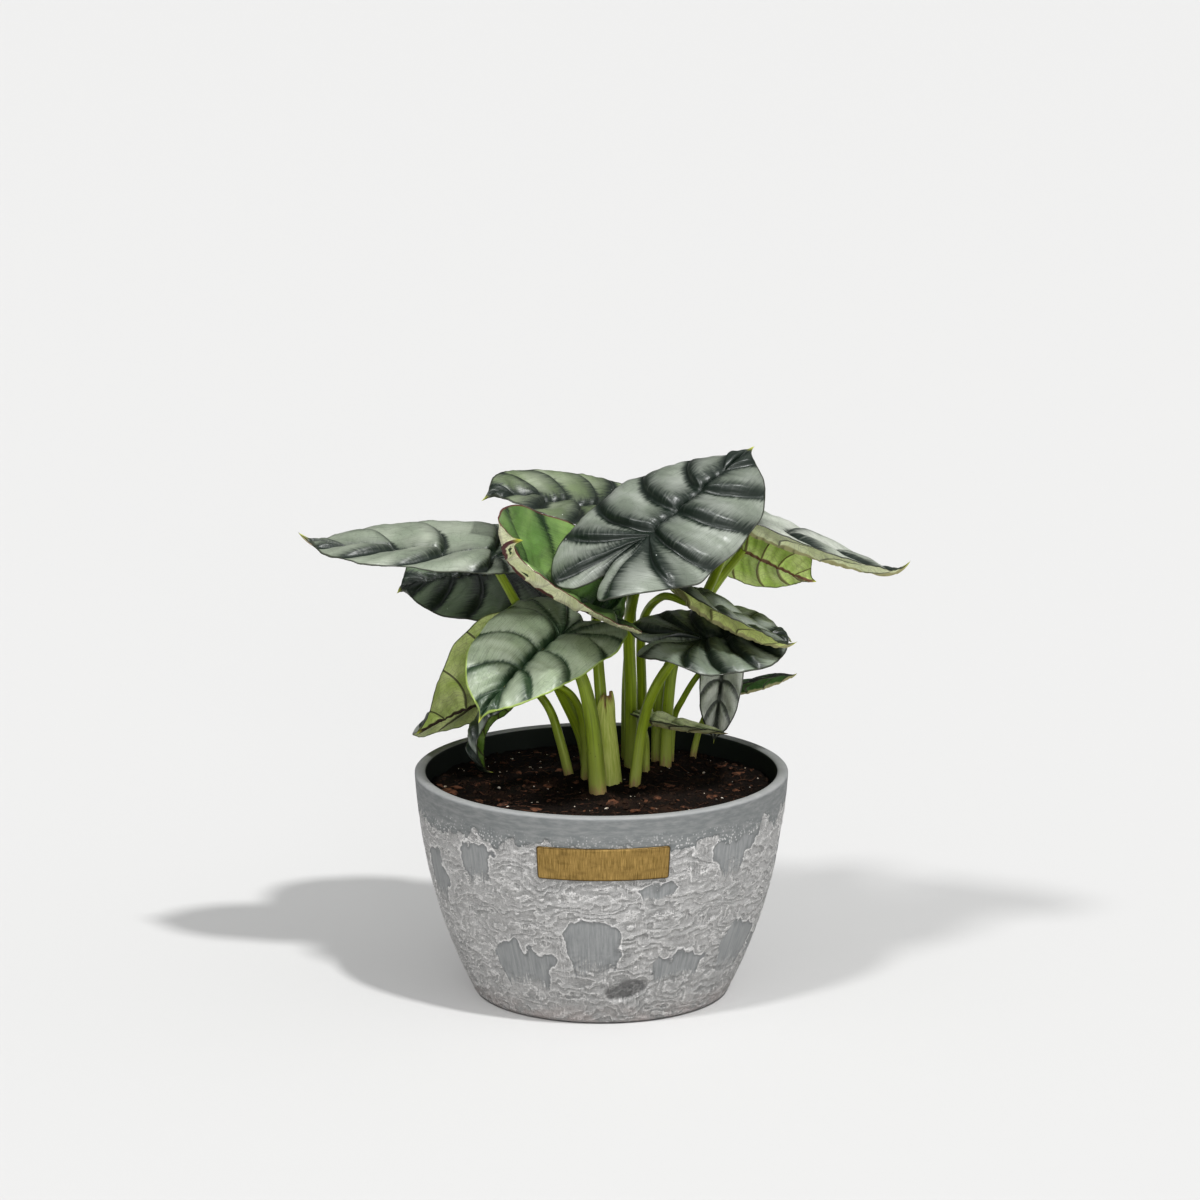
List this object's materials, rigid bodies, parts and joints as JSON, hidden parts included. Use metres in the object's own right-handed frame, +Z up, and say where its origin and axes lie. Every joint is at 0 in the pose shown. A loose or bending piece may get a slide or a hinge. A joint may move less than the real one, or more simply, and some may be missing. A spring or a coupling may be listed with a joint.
{
  "type": "potted silver dragon alocasia",
  "caption": "Potted silver dragon alocasia: quilted silver-green arrow-shaped leaves on slender petioles, growing from dark soil in a round marbled grey ceramic bowl with a plain brass plate.",
  "frame": {"origin": "centre of the pot's flat base, on the surface that it stands on", "axes": "+Z up; the brass plate on the pot's front faces -Y; +X is to the viewer's right when the plate is seen from the front"},
  "size_m": [0.3256, 0.2038, 0.2984],
  "materials": {
    "pot": "matt, marbled grey with whitish crinkled ridges",
    "plate": "brushed, slightly tarnished at its edges",
    "soil": "moist, crumbly, with fibres and white perlite",
    "sheath": "dry, papery, brown and torn at its tips",
    "blade": "satin, silver between dark green sunken veins, pale green beneath",
    "young_blade": "glossy, fresh green",
    "petiole": "smooth, green, paler at its foot"
  },
  "bodies": {
    "root": {"pot": "pot", "name_plate": "plate", "soil": "soil", "old_sheath": "sheath", "blade_top": "blade", "petiole_top": "petiole", "blade_upper_left": "blade", "petiole_upper_left": "petiole", "blade_far_left": "blade", "petiole_far_left": "petiole", "blade_left": "blade", "petiole_left": "petiole", "blade_rolled": "young_blade", "petiole_rolled": "petiole", "blade_front": "blade", "petiole_front": "petiole", "blade_low_left": "blade", "petiole_low_left": "petiole", "blade_drooping": "blade", "petiole_drooping": "petiole", "blade_right": "blade", "petiole_right": "petiole", "blade_narrow_right": "blade", "petiole_narrow_right": "petiole", "blade_back_right": "blade", "petiole_back_right": "petiole", "blade_far_right": "blade", "petiole_far_right": "petiole", "blade_hanging": "blade", "petiole_hanging": "petiole", "blade_slim_right": "blade", "petiole_slim_right": "petiole", "blade_low_right": "blade", "petiole_low_right": "petiole"}
  },
  "joints": []
}
